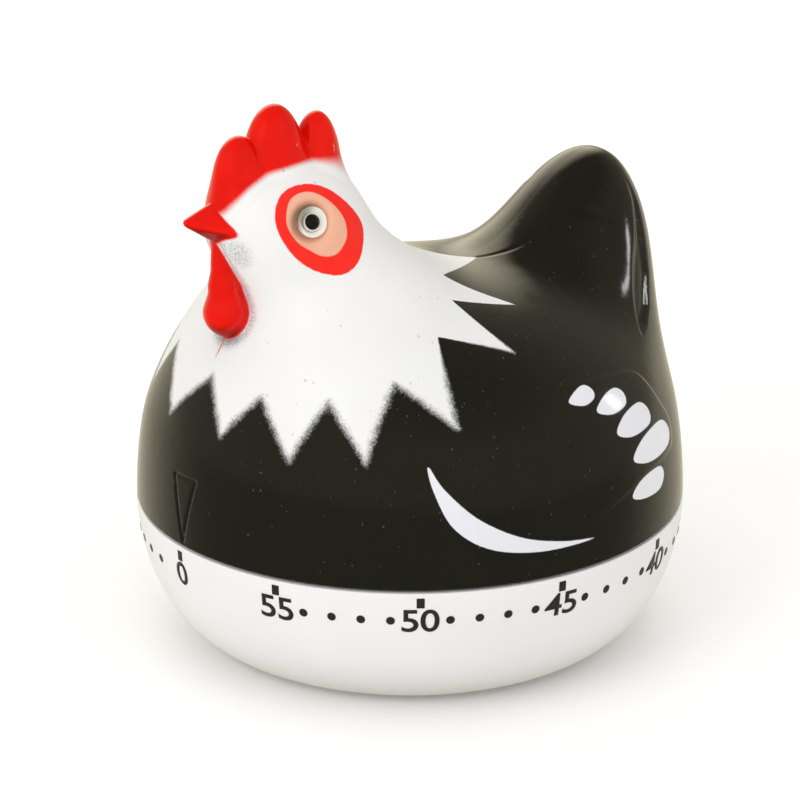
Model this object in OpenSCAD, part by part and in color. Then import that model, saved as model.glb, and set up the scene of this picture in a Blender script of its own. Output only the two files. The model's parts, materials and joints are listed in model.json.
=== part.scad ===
// Hen-shaped wind-up kitchen timer: a hollow hen turns on a white dial bowl and winds the movement inside.
// Origin on the resting plane, on the dial's axis. +Z up, the hen faces -Y. All lengths in millimetres.

/* [Hen] */
// Radius of the hen and of the bowl where they meet
seam_r = 35.5; // [35:0.1:36]
// Wall thickness of the half shells
shell_wall = 2.2; // [1.8:0.1:2.6]
// Half thickness of the comb
comb_half = 2.2; // [1.5:0.1:3]
// Radius of an eye bead
eye_r = 2.0; // [1.8:0.1:2.2]
// Radius of a pupil
pupil_r = 0.95; // [0.7:0.05:1.1]

/* [Bowl] */
// Height of the bowl's rim above the table
bowl_h = 18.4; // [18:0.1:18.5]
// Radius of the ring that the bowl stands on
foot_r = 24; // [23.5:0.1:25]
// Wall thickness of the bowl
bowl_wall = 2; // [1.6:0.1:2.2]
// Gap between the bowl's rim and the hen
rim_gap = 0.4; // [0.3:0.1:0.6]

/* [Movement] */
// Radius of the two movement plates
plate_r = 26; // [25.5:0.1:26.5]
// Thickness of a movement plate
plate_t = 1.2; // [1:0.1:1.2]
// Height of the lower plate's underside
lower_z = 11.5; // [11.4:0.1:11.6]
// Height of the upper plate's underside
upper_z = 28.5; // [28.4:0.1:28.6]
// Running clearance of every shaft in its bore, on the radius
play = 0.05; // [0.02:0.01:0.08]

/* [Gear train] */
// Teeth of the great wheel on the main arbor
great_teeth = 60; // [60]
// Module of the great wheel
great_m = 0.45; // [0.45]
// Teeth of the second wheel
second_teeth = 60; // [60]
// Module of the second wheel
second_m = 0.3; // [0.3]
// Teeth of the third wheel
third_teeth = 64; // [64]
// Module of the third wheel
third_m = 0.25; // [0.25]
// Leaves of every pinion
leaves = 8; // [8]
// Teeth of the escape wheel
escape_teeth = 15; // [12:1:15]

/* [Alarm] */
// Outer radius of the bell
bell_r = 15.5; // [15:0.1:15.5]
// Sheet thickness of the bell
bell_t = 0.8; // [0.6:0.1:1]
// Length of the hammer's arm
hammer_arm = 11; // [10.9:0.1:11.1]
// Radius of the cam disc
cam_r = 8.3; // [8:0.1:8.3]

/* [Hidden] */
$fn = 64;
eps = 0.01;

// ---- the hen's outer form: four solids melted into one, seen from a point on the axis ----
shell_z = bowl_h + rim_gap;      // height of the half shells' lower edge
body_h = 29.2;                   // height of the round body above the seam
body_power = 2.35;               // fullness of the body's shoulder
blend = 3.5;                     // how softly the solids melt together
head_c = [0, -19.2, 58];         // head: centre, radii
head_a = [8.8, 9.9, 8.5];
chest_c = [0, -12.2, 38.5];      // chest: centre, radii, tilt
chest_a = [19.2, 13.7, 16];
chest_tilt = -9;
tail_c = [0, 20.9, 32];          // tail: centre, radii, tilt
tail_a = [12.3, 11.9, 28.4];
tail_tilt = -16.4;
round_until = 20;                // below this elevation the form eases into the round seam, degrees

around_steps = 48;               // mesh steps from the back over the top to the front
side_steps = 18;                 // mesh steps from the middle plane out to the side
side_crowding = 1.4;             // crowds the side steps towards the middle plane

function tilted(q, t) = [q.x, q.y * cos(t) + q.z * sin(t), q.z * cos(t) - q.y * sin(t)];
function oval(p, c, a, t) =
    let(q = tilted(p - c, t)) (norm([q.x / a.x, q.y / a.y, q.z / a.z]) - 1) * min(a);
function round_body(p) =
    (pow(pow(norm([p.x, p.y]) / seam_r, body_power) + pow(abs(p.z - shell_z) / body_h, body_power),
         1 / body_power) - 1) * body_h;
function form(p) = -blend * ln(exp(-round_body(p) / blend) + exp(-oval(p, head_c, head_a, 0) / blend)
                               + exp(-oval(p, chest_c, chest_a, chest_tilt) / blend)
                               + exp(-oval(p, tail_c, tail_a, tail_tilt) / blend));

shell_c = [0, 0, shell_z];
function reach(d, level, lo = 8, hi = 62, n = 16) =
    n == 0 ? (lo + hi) / 2
    : let(mid = (lo + hi) / 2)
      form(shell_c + mid * d) > level ? reach(d, level, lo, mid, n - 1) : reach(d, level, mid, hi, n - 1);
function ease(x) = let(t = max(0, min(1, x))) t * t * (3 - 2 * t);
function outer_r(d) = seam_r + (reach(d, 0) - seam_r) * ease(asin(d.z) / round_until);
function inner_r(d) = outer_r(d) - (reach(d, 0) - reach(d, -shell_wall));

function direction(i, j) =
    let(g = 180 * i / around_steps, b = 90 * pow(j / side_steps, side_crowding))
    [sin(b), cos(b) * cos(g), i == around_steps ? 0 : cos(b) * sin(g)];

// ---- places of the arbors, seen from above ----
function polar(r, a) = [r * cos(a), r * sin(a)];
function corner(r1, r2, d) = acos((r1 * r1 + r2 * r2 - d * d) / (2 * r1 * r2));
function centres(teeth, m) = (teeth + leaves) * m / 2;

second_d = centres(great_teeth, great_m);
third_d = 17;
escape_d = 19;
anchor_gap = 6.8;                // between the escape arbor and the anchor arbor
second_a = 0;
third_a = second_a + corner(second_d, third_d, centres(second_teeth, second_m));
escape_a = third_a + corner(third_d, escape_d, centres(third_teeth, third_m));
anchor_a = escape_a + corner(escape_d, escape_d, anchor_gap);
second_at = polar(second_d, second_a);
third_at = polar(third_d, third_a);
escape_at = polar(escape_d, escape_a);
anchor_at = polar(escape_d, anchor_a);
hammer_at = polar(20, -33);
alarm_at = polar(20, 160);
ARBORS = [second_at, third_at, escape_at, anchor_at, hammer_at, alarm_at];
function bearing(from, to) = atan2(to.y - from.y, to.x - from.x);

// ---- heights inside the movement ----
lower_top = lower_z + plate_t;
great_z = 13.4;
wheel_t = 1;                     // great wheel, ratchet and click
train_t = 0.8;                   // the smaller wheels
ratchet_z = 14.6;
star_z = 15.0;
second_z = 16.2;
spring_z = 18;
spring_h = 6.5;
escape_z = 20;
inertia_z = 22.6;
cam_z = 25.2;
third_z = 25.4;
hub_z = 33.5;                    // underside of the hub plate
hub_t = 2.2;

// ---- shafts and screws ----
main_r = 2;
main_pivot_r = 1.2;
arbor_r = 0.8;
pivot_r = 0.5;
screw_r = 1;
screw_head_r = 1.9;
head_t = 1.2;
PILLAR_A = [-48, 112, 208];
pillar_d = 23.5;
pillar_r = 1.6;
EAR_A = [30, 150, 270];
ear_d = 27.2;
ear_r = 3;
COVER_A = [0, 120, 240];
cover_screw_d = 20;
cover_t = 1.5;
cover_r = 22.3;
flange_t = 1.8;
bell_at = [-3.2, 0];
bell_low_z = 4;
bell_top_z = 10.3;
HUB_AT = [[21, -8], [21, 8], [-21, -8], [-21, 8]];

// ---- eyes ----
eye_at = [9.0, -19.7, 60.2];     // on the hen's left side
eye_turn = -5.6;                 // bearing of the eye's axis
eye_lift = 20.2;                 // elevation of the eye's axis
eye_sink = 0.6;                  // depth of the bead's face below the skin
eye_l = 2.6;

// ---- shared shapes ----
module at(p, z = 0) { translate([p.x, p.y, z]) children(); }
module ring_of(angles, d, z = 0) { for (a = angles) rotate(a) translate([d, 0, z]) children(); }
module side_extrude(h) { rotate([90, 0, 90]) linear_extrude(h) children(); }

// teeth: [addendum, dedendum] in modules, half widths at root, pitch circle and tip as shares of the pitch
WHEEL = [1.0, 1.3, 0.25, 0.2, 0.06];
PINION = [0.5, 1.4, 0.22, 0.2, 0.08];
function gear_points(n, m, f) =
    let(r = n * m / 2, p = 360 / n, root = r - f[1] * m, tip = r + f[0] * m)
    [for (i = [0:n - 1]) for (q = [[root, -f[2]], [r, -f[3]], [tip, -f[4]], [tip, f[4]], [r, f[3]], [root, f[2]]])
        polar(q[0], (i + q[1]) * p)];

// a toothed disc with windows between its arms; tooth_a and arm_a are the bearings of a tooth and an arm
module wheel(n, m, tooth_a, bore, t, arms = 4, arm_a = 45) {
    rim = n * m / 2 - 1.3 * m - 1.1;
    hub = bore + 1.4;
    linear_extrude(t) difference() {
        rotate(tooth_a) polygon(gear_points(n, m, WHEEL));
        circle(bore);
        difference() {
            circle(rim);
            circle(hub);
            for (k = [0:arms - 1]) rotate(arm_a + k * 360 / arms) translate([0, -1]) square([rim + 1, 2]);
        }
    }
}

module pinion(m, leaf_a, t) { linear_extrude(t) rotate(leaf_a) polygon(gear_points(leaves, m, PINION)); }

// saw teeth with the steep face on the anticlockwise side
module saw(n, r_in, r_out, first_a, t, bore) {
    linear_extrude(t) difference() {
        rotate(first_a) polygon([for (i = [0:n - 1])
            for (q = [[r_in, 0.02], [r_out, 0.98], [r_in, 1]]) polar(q[0], (i - 1 + q[1]) * 360 / n)]);
        circle(bore);
    }
}

// a steel arbor with its two thin pivots in the plates
module arbor(low = lower_z + 0.1) {
    translate([0, 0, low]) cylinder(r = pivot_r, h = upper_z + plate_t - 0.1 - low, $fn = 32);
    translate([0, 0, lower_top + 0.1]) cylinder(r = arbor_r, h = upper_z - lower_top - 0.2, $fn = 32);
}

module collar(r, z, t) {
    translate([0, 0, z]) difference() {
        cylinder(r = r, h = t, $fn = 32);
        translate([0, 0, -1]) cylinder(r = arbor_r + eps, h = t + 2, $fn = 32);
    }
}

// cheese-head screw, head on top, standing on z = 0
module screw(length, r = screw_r, head_r = screw_head_r) {
    difference() {
        union() {
            cylinder(r = head_r, h = head_t, $fn = 32);
            translate([0, 0, -length]) cylinder(r = r, h = length + eps, $fn = 32);
        }
        translate([-head_r - 1, -0.25, head_t - 0.5]) cube([2 * head_r + 2, 0.5, 1]);
    }
}

// ---- bowl and cover ----
function bowl_r(z) = foot_r + (seam_r - foot_r) * pow(1 - pow(1 - z / bowl_h, 1.9), 1 / 1.9);
BOWL_Z = [for (k = [0:16]) bowl_h * pow(k / 16, 1.6)];

module bowl_profile() {
    floor_z = cover_t + flange_t;
    polygon(concat(
        [for (z = BOWL_Z) [bowl_r(z), z]],
        [[bowl_r(bowl_h) - bowl_wall, bowl_h]],
        [for (k = [16:-1:0]) let(z = floor_z + (bowl_h - floor_z) * k / 16 * 0.98) [bowl_r(z) - bowl_wall, z]],
        [[18, floor_z], [18, cover_t], [cover_r + 0.1, cover_t], [cover_r + 0.1, 0]]));
}

module base_bowl() {
    color("whitesmoke") difference() {
        union() {
            rotate_extrude($fn = 96) bowl_profile();
            ring_of(EAR_A, ear_d, cover_t + 1) cylinder(r = 2.6, h = lower_z - cover_t - 1);
            ring_of(COVER_A, cover_screw_d, cover_t + 1) cylinder(r = 1.7, h = 3);
        }
        ring_of(EAR_A, ear_d, 5) cylinder(r = screw_r + eps, h = lower_z);
        ring_of(COVER_A, cover_screw_d, -1) cylinder(r = screw_r + eps, h = cover_t + 4);
    }
}

module base_cover() {
    color("white") difference() {
        cylinder(r = cover_r, h = cover_t);
        ring_of(COVER_A, cover_screw_d, -1) cylinder(r = screw_r + play, h = 4);
        ring_of(COVER_A, cover_screw_d, -1) cylinder(r = screw_head_r + play, h = 1.2 + 1);
        for (k = [0:9]) rotate(18 + k * 36) translate([8, -0.8, -1]) cube([8, 1.6, 4]);
    }
}

module cover_screws() {
    color("silver") ring_of(COVER_A, cover_screw_d, 1.2) mirror([0, 0, 1]) screw(2.9);
}

// ---- movement frame ----
module plate(z, ears, main_bore) {
    translate([0, 0, z]) difference() {
        union() {
            cylinder(r = plate_r, h = plate_t);
            if (ears) ring_of(EAR_A, ear_d) cylinder(r = ear_r, h = plate_t);
        }
        translate([0, 0, -1]) cylinder(r = main_bore, h = 4);
        for (p = ARBORS) at(p, -1) cylinder(r = pivot_r + play, h = 4, $fn = 32);
        ring_of(PILLAR_A, pillar_d, -1) cylinder(r = screw_r + play, h = 4, $fn = 32);
        if (ears) {
            ring_of(EAR_A, ear_d, -1) cylinder(r = screw_r + play, h = 4, $fn = 32);
            at(bell_at, -1) cylinder(r = 0.8 + eps, h = 4, $fn = 32);
        }
    }
}

module lower_plate() { color("lightgray") plate(lower_z, true, main_pivot_r + play); }
module upper_plate() { color("lightgray") plate(upper_z, false, main_r + play); }

module plate_pillars() {
    color("silver") ring_of(PILLAR_A, pillar_d) difference() {
        union() {
            translate([0, 0, lower_top]) cylinder(r = pillar_r, h = upper_z - lower_top, $fn = 32);
            translate([0, 0, lower_z]) cylinder(r = screw_r, h = plate_t + eps, $fn = 32);
        }
        translate([0, 0, upper_z - 4]) cylinder(r = 0.9 + eps, h = 8, $fn = 32);
    }
}

module pillar_screws() {
    color("silver") ring_of(PILLAR_A, pillar_d, upper_z + plate_t) screw(3.9, 0.9);
}

module movement_screws() { color("silver") ring_of(EAR_A, ear_d, lower_top) screw(6.5); }

// ---- bell ----
module bell() {
    shoulder = 2;
    color("goldenrod") at(bell_at) difference() {
        rotate_extrude() union() {
            translate([bell_r - bell_t, bell_low_z]) square([bell_t, bell_top_z - bell_low_z - shoulder + eps]);
            translate([bell_r - shoulder, bell_top_z - shoulder]) intersection() {
                difference() { circle(shoulder); circle(shoulder - bell_t); }
                square(shoulder);
            }
            translate([0, bell_top_z - bell_t]) square([bell_r - shoulder + eps, bell_t]);
        }
        translate([0, 0, bell_top_z - 2]) cylinder(r = 0.9 + play, h = 4, $fn = 32);
    }
}

module bell_post() {
    color("silver") at(bell_at) difference() {
        union() {
            translate([0, 0, bell_top_z]) cylinder(r = 1.6, h = lower_z - bell_top_z, $fn = 32);
            translate([0, 0, lower_z - eps]) cylinder(r = 0.8, h = plate_t, $fn = 32);
        }
        translate([0, 0, bell_top_z - 1]) cylinder(r = 0.6, h = 2, $fn = 32);
    }
}

module bell_screw() {
    color("silver") at(bell_at, bell_top_z - bell_t) mirror([0, 0, 1]) difference() {
        union() {
            cylinder(r = 2.4, h = 1, $fn = 32);
            translate([0, 0, -bell_t - 0.9]) cylinder(r = 0.6 - eps, h = bell_t + 1, $fn = 32);
        }
        translate([-4, -0.25, 0.6]) cube([8, 0.5, 1]);
    }
}

// ---- mainspring ----
spring_turns = 5.5;
spring_in = main_r + 0.4;
spring_out = 12.4;
strip_t = 0.35;
SPRING_STEPS = 132;
spring_end_a = 170;
function spiral(k, off) =
    let(s = k / SPRING_STEPS) polar(spring_in + (spring_out - spring_in) * s + off,
                                    spring_end_a - 360 * spring_turns * (1 - s));

module mainspring() {
    post = polar(pillar_d, PILLAR_A[2]);
    last = spiral(SPRING_STEPS, 0);
    lead = bearing(last, post);
    color("steelblue") translate([0, 0, spring_z]) union() {
        linear_extrude(spring_h) polygon(concat(
            [for (k = [0:SPRING_STEPS]) spiral(k, 0)], [for (k = [SPRING_STEPS:-1:0]) spiral(k, strip_t)]));
        at(last) rotate(lead) translate([-0.2, -0.1, 0])
            cube([norm(post - last) - pillar_r - 0.2, strip_t, spring_h]);
        at(post) difference() {
            cylinder(r = pillar_r + 0.6, h = spring_h);
            translate([0, 0, -1]) cylinder(r = pillar_r + play, h = spring_h + 2);
        }
    }
}

// ---- half shells ----
COMB = [[[-25.7, 68.2], 1.7, [-24.9, 62], 3.5], [[-20.1, 71.4], 1.8, [-19.8, 64], 4.2],
        [[-13.9, 69.7], 1.7, [-14.2, 63.5], 3.8]];    // each lobe: tip, radius, root, radius
beak_from = [0, -26.5, 59.4];
beak_to = [0, -33, 60];
wattle_at = [0, -27, 46.9];
wattle_top = [0, -28.2, 56.2];

// closed skin between the outer and the inner form, for x >= 0
module half_skin() {
    grid = [for (i = [0:around_steps]) for (j = [0:side_steps - 1]) direction(i, j)];
    dirs = concat(grid, [[1, 0, 0]]);
    count = len(dirs);
    outer = [for (d = dirs) shell_c + outer_r(d) * d];
    inner = [for (d = dirs) shell_c + inner_r(d) * d];
    pole = count - 1;
    function id(i, j) = j == side_steps ? pole : i * side_steps + j;
    function quad(a, b, c, d) = [[a, b, c], [a, c, d]];
    skin = [for (i = [0:around_steps - 1]) for (j = [0:side_steps - 1])
        let(a = id(i, j), b = id(i + 1, j), c = id(i + 1, j + 1), d = id(i, j + 1))
        each (j == side_steps - 1 ? [[a, b, pole]] : quad(a, b, c, d))];
    middle = [for (i = [0:around_steps - 1])
        let(a = id(i, 0), b = id(i + 1, 0)) each quad(b, a, a + count, b + count)];
    seam = [for (j = [0:side_steps - 1])
        let(a = id(0, j), b = id(0, j + 1), c = id(around_steps, j), d = id(around_steps, j + 1))
        each concat(quad(a, b, b + count, a + count), quad(d, c, c + count, d + count))];
    lining = [for (f = skin) [f[2] + count, f[1] + count, f[0] + count]];
    faces = [for (f = concat(skin, lining, middle, seam)) [f[2], f[1], f[0]]];
    polyhedron(points = concat(outer, inner), faces = faces);
}

// solid features moulded on the skin, cut at the middle plane
module comb_half_solid() {
    side_extrude(comb_half) difference() {
        for (l = COMB) hull() {
            translate(l[0]) circle(l[1], $fn = 32);
            translate(l[2]) circle(l[3], $fn = 32);
        }
        translate([-19.2, 56]) circle(8.2, $fn = 48);
    }
}

module spindle(p, q, r1, r2) {
    v = q - p;
    translate(p) rotate([0, acos(v.z / norm(v)), atan2(v.y, v.x)]) cylinder(r1 = r1, r2 = r2, h = norm(v));
}

module face_features() {
    intersection() {
        translate([0, -50, 30]) cube([20, 40, 50]);
        union() {
            spindle(beak_from, beak_to, 3.9, 0.6);
            spindle(wattle_at, wattle_top, 2.6, 0.9);
            translate(wattle_at) sphere(3.1);
        }
    }
}

module eye_frame() { translate(eye_at) rotate([0, 90 - eye_lift, eye_turn]) children(); }

module half_shell() {
    difference() {
        union() {
            half_skin();
            comb_half_solid();
            face_features();
            for (p = [HUB_AT[0], HUB_AT[1]]) at(p, hub_z + hub_t) cylinder(r = 2.1, h = 5.6, $fn = 32);
        }
        eye_frame() {
            translate([0, 0, -4]) cylinder(r = eye_r + play, h = 8, $fn = 48);
            translate([0, 0, -1]) cylinder(r1 = eye_r + play, r2 = 3.4, h = 1.6, $fn = 48);
        }
        for (p = [HUB_AT[0], HUB_AT[1]]) at(p, hub_z) cylinder(r = 0.9 + eps, h = hub_t + 4, $fn = 32);
    }
}

module hen_shell_left() { color("#221f18") half_shell(); }
module hen_shell_right() { color("#221f18") mirror([1, 0, 0]) half_shell(); }

module eye_bead() {
    eye_frame() translate([0, 0, -eye_sink - eye_l]) difference() {
        union() {
            cylinder(r = eye_r, h = eye_l - 0.4, $fn = 48);
            translate([0, 0, eye_l - 0.4 - eps]) cylinder(r1 = eye_r, r2 = eye_r - 0.5, h = 0.4, $fn = 48);
        }
        translate([0, 0, eye_l - 1]) cylinder(r = pupil_r + eps, h = 2, $fn = 48);
    }
}

module pupil() {
    eye_frame() translate([0, 0, -eye_sink - 1]) rotate_extrude($fn = 48)
        polygon([[0, 0], [pupil_r, 0], [pupil_r, 1], [pupil_r * 0.7, 1.2], [0, 1.3]]);
}

module eye_left() { color("gainsboro") eye_bead(); }
module eye_right() { color("gainsboro") mirror([1, 0, 0]) eye_bead(); }
module pupil_left() { color("black") pupil(); }
module pupil_right() { color("black") mirror([1, 0, 0]) pupil(); }

// ---- hub ----
square_w = 2.8;                  // across flats of the arbor's square end
module hub_plate() {
    color("white") translate([0, 0, hub_z]) difference() {
        union() {
            cylinder(r = 25.5, h = hub_t);
            cylinder(r = 5, h = hub_t + 1.2);
        }
        translate([-square_w / 2 - play, -square_w / 2 - play, -1])
            cube([square_w + 2 * play, square_w + 2 * play, 6]);
        for (p = HUB_AT) at(p, -1) cylinder(r = 0.9 + play, h = 5, $fn = 32);
        for (k = [0:5]) rotate(k * 60) translate([13, 0, -1]) cylinder(r = 3.4, h = 5);
    }
}

module hub_screws() {
    color("silver") for (p = HUB_AT) at(p, hub_z) mirror([0, 0, 1]) screw(5.4, 0.9);
}

arbor_top = hub_z + hub_t + 1.1;
module arbor_screw() {
    color("silver") translate([0, 0, hub_z + hub_t + 1.2]) screw(4.2, 0.8, 2.8);
}

// ---- dial group ----
module main_arbor() {
    color("silver") difference() {
        union() {
            translate([0, 0, lower_z + 0.1]) cylinder(r = main_pivot_r, h = 2, $fn = 48);
            translate([0, 0, lower_top + 0.1]) cylinder(r = main_r, h = hub_z - lower_top - 0.1);
            translate([-square_w / 2, -square_w / 2, hub_z - eps])
                cube([square_w, square_w, arbor_top - hub_z + eps]);
        }
        translate([0, 0, arbor_top - 4.5]) cylinder(r = 0.8 + eps, h = 6, $fn = 32);
    }
}

module great_wheel() {
    color("gold") union() {
        translate([0, 0, great_z]) wheel(great_teeth, great_m, second_a, main_r + eps, wheel_t, 5, 18);
        at(click_at, great_z + wheel_t - eps) cylinder(r = click_pin_r, h = wheel_t + 0.4, $fn = 32);
    }
}

ratchet_n = 12;
ratchet_in = 4.2;
ratchet_out = 5;
module ratchet_wheel() {
    color("silver") translate([0, 0, ratchet_z])
        saw(ratchet_n, ratchet_in, ratchet_out, 45, wheel_t, main_r + eps);
}

click_at = polar(8.6, 90);
click_tip = polar(4.75, 49.8);
click_pin_r = 0.7;
module click() {
    color("darkgray") translate([0, 0, ratchet_z]) linear_extrude(wheel_t) difference() {
        union() {
            at(click_at) circle(1.3, $fn = 32);
            hull() {
                at(click_at) circle(0.75, $fn = 32);
                at(click_tip) circle(0.35, $fn = 32);
            }
        }
        at(click_at) circle(click_pin_r + play, $fn = 32);
    }
}

// a bent leaf whose free end lies on the click's outer flank
module click_spring() {
    foot = polar(9.2, 18);
    leaf_t = 0.2;
    lean = bearing(foot, polar(6.7, 66));
    color("steelblue") union() {
        at(foot, great_z + wheel_t) cylinder(r = 0.7, h = 1.1, $fn = 32);
        at(foot, ratchet_z) rotate(lean) cube([norm(polar(6.7, 66) - foot), leaf_t, 0.8]);
    }
}

module cam_disc() {
    color("gold") translate([0, 0, cam_z]) linear_extrude(wheel_t) difference() {
        circle(cam_r);
        circle(main_r + eps);
        rotate(nose_a) polygon([[cam_r - 1.4, -0.4], [cam_r + 1, -1.6], [cam_r + 1, 1.6], [cam_r - 1.4, 0.4]]);
    }
}

// ---- train ----
leaf_shift = 180 / leaves;
module second_arbor() {
    color("silver") at(second_at) union() {
        arbor();
        translate([0, 0, great_z - 0.3]) pinion(great_m, second_a + 180 + leaf_shift, wheel_t + 0.5);
    }
}

module second_wheel() {
    color("gold") at(second_at, second_z)
        wheel(second_teeth, second_m, bearing(second_at, third_at), arbor_r + eps, train_t);
}

star_r = 4.6;
module star_wheel() {
    color("silver") at(second_at, star_z) linear_extrude(train_t) difference() {
        polygon([for (i = [0:19]) polar(i % 2 == 0 ? star_r : star_r - 1.3, i * 18)]);
        circle(arbor_r + eps, $fn = 32);
    }
}

module third_arbor() {
    color("silver") at(third_at) union() {
        arbor();
        translate([0, 0, second_z - 0.3])
            pinion(second_m, bearing(third_at, second_at) + leaf_shift, train_t + 0.6);
    }
}

module third_wheel() {
    color("gold") at(third_at, third_z)
        wheel(third_teeth, third_m, bearing(third_at, escape_at), arbor_r + eps, train_t);
}

module escape_arbor() {
    color("silver") at(escape_at) union() {
        arbor();
        translate([0, 0, third_z - 0.3])
            pinion(third_m, bearing(escape_at, third_at) + leaf_shift, train_t + 0.6);
    }
}

escape_r = 4.8;
module escape_wheel() {
    color("gold") at(escape_at, escape_z)
        saw(escape_teeth, escape_r - 0.9, escape_r, 0, train_t, arbor_r + eps);
}

// ---- anchor ----
module anchor_arbor() { color("silver") at(anchor_at) arbor(); }

pallet_reach = 5.25;             // from the escape arbor to a pallet's face
// drawn with the anchor arbor at the origin and the escape arbor on +x
function from_escape(r, a) = [anchor_gap - r * cos(a), r * sin(a)];
module pallet_anchor() {
    color("darkgray") at(anchor_at, escape_z) rotate(bearing(anchor_at, escape_at)) linear_extrude(train_t)
        difference() {
            union() {
                circle(1.6, $fn = 32);
                for (side = [-1, 1])
                    polygon([[-0.4, side * 1.2], from_escape(6.9, side * 50), from_escape(pallet_reach, side * 46),
                             from_escape(pallet_reach, side * 38), [1.1, side * 0.9]]);
            }
            circle(arbor_r + eps, $fn = 32);
        }
}

module inertia_bar() {
    half = 5.2;
    color("gold") at(anchor_at, inertia_z) rotate(anchor_a) difference() {
        union() {
            translate([-half, -0.6, 0]) cube([2 * half, 1.2, train_t]);
            cylinder(r = 1.5, h = train_t, $fn = 32);
            for (s = [-1, 1]) translate([s * (half - 0.8), 0, 0]) cylinder(r = 1.1, h = 1.6, $fn = 32);
        }
        translate([0, 0, -1]) cylinder(r = arbor_r + eps, h = 4, $fn = 32);
    }
}

// ---- alarm ----
hammer_head_r = 2;
hammer_rest = 0.6;               // gap between hammer and bell at rest
hammer_swing = acos((pow(bell_r + hammer_head_r + hammer_rest, 2) - pow(norm(hammer_at - bell_at), 2)
                     - pow(hammer_arm, 2)) / (2 * norm(hammer_at - bell_at) * hammer_arm));
hammer_a = bearing(bell_at, hammer_at) - hammer_swing;
hammer_z = 6;

module hammer_arbor() { color("silver") at(hammer_at) arbor(hammer_z - 0.4); }

module hammer() {
    color("darkgray") at(hammer_at, hammer_z) rotate(hammer_a) difference() {
        union() {
            cylinder(r = 1.6, h = 1.4, $fn = 32);
            translate([0, -0.6, 0]) cube([hammer_arm, 1.2, 1]);
            translate([hammer_arm, 0, -1]) cylinder(r = hammer_head_r, h = 3, $fn = 32);
        }
        translate([0, 0, -1]) cylinder(r = pivot_r + eps, h = 4, $fn = 32);
    }
}

module hammer_tail() {
    reach_r = norm(hammer_at - second_at) - star_r - 0.2;
    color("silver") at(hammer_at, star_z) rotate(bearing(hammer_at, second_at)) linear_extrude(train_t)
        difference() {
            union() {
                circle(1.6, $fn = 32);
                polygon([[0, -0.9], [reach_r, -0.3], [reach_r, 0.3], [0, 0.9]]);
            }
            circle(arbor_r + eps, $fn = 32);
        }
}

nose_a = 135;                    // bearing of the lever's nose on the cam
module alarm_arbor() { color("silver") at(alarm_at) arbor(); }
module alarm_lever() {
    nose_r = cam_r + 0.12;
    color("darkgray") translate([0, 0, cam_z]) linear_extrude(wheel_t) difference() {
        union() {
            at(alarm_at) circle(1.8, $fn = 32);
            polygon([alarm_at + [0, -1.2], polar(nose_r + 1.2, nose_a + 6), polar(nose_r, nose_a + 1),
                     polar(nose_r, nose_a - 1), polar(nose_r + 2.3, nose_a - 4), alarm_at + [0, 1.2]]);
        }
        at(alarm_at) circle(arbor_r + eps, $fn = 32);
    }
}

base_bowl();
base_cover();
cover_screws();
lower_plate();
upper_plate();
plate_pillars();
pillar_screws();
movement_screws();
bell();
bell_post();
bell_screw();
mainspring();
hen_shell_left();
hen_shell_right();
eye_left();
eye_right();
pupil_left();
pupil_right();
hub_plate();
hub_screws();
arbor_screw();
main_arbor();
great_wheel();
ratchet_wheel();
cam_disc();
click();
click_spring();
second_arbor();
second_wheel();
star_wheel();
third_arbor();
third_wheel();
escape_arbor();
escape_wheel();
anchor_arbor();
pallet_anchor();
inertia_bar();
hammer_arbor();
hammer();
hammer_tail();
alarm_arbor();
alarm_lever();
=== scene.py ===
"""Looks of the hen-shaped kitchen timer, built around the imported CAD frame.

The hen's skin repeats the CAD's own form (four solids melted into one) on a fine grid and adds the moulded
details and the paint. Shapes are worked out in millimetres in the CAD's frame and written in metres.
"""

import json
import math

import bmesh
import bpy
import numpy as np
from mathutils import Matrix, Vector


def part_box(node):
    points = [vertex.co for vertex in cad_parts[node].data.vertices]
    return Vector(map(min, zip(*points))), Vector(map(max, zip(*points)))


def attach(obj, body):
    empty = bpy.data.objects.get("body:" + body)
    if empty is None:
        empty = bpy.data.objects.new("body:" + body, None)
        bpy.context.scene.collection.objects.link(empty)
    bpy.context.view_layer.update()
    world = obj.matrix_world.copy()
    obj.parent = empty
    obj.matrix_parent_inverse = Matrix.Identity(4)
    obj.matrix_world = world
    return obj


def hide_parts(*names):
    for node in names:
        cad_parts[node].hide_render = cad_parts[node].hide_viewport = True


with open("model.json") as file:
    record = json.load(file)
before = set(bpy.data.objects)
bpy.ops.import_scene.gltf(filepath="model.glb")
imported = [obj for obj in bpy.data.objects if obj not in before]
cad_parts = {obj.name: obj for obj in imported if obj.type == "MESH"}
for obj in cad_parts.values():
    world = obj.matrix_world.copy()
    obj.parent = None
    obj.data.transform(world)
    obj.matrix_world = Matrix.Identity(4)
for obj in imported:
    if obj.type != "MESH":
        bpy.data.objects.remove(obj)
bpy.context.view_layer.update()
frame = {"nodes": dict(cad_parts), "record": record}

MM = 0.001


# ---- driving dimensions, from the frame ----
def corner_mm(node, high):
    """A corner of a CAD node's box, in millimetres."""
    return np.array(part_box(node)[1 if high else 0]) / MM


BOWL_H = corner_mm("base_bowl", True)[2]
SEAM_R = corner_mm("base_bowl", True)[0]
SHELL_Z = corner_mm("hen_shell_left", False)[2]
COVER_T = corner_mm("base_cover", True)[2]
COVER_R = corner_mm("base_cover", True)[0]
FOOT_R = 24.0
BOWL_WALL = 2.0
SHELL_WALL = 2.2
BOWL_POWER = 1.9


# ---- camera and lights ----
CAMERA_AZIMUTH = 58.0
CAMERA_ELEVATION = 20.7
CAMERA_DISTANCE = 0.520
CAMERA_LENS = 180.9
CAMERA_AIM_Z = 30 * MM
CAMERA_ASIDE = (-1.29 * MM, 0.24 * MM)


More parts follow.
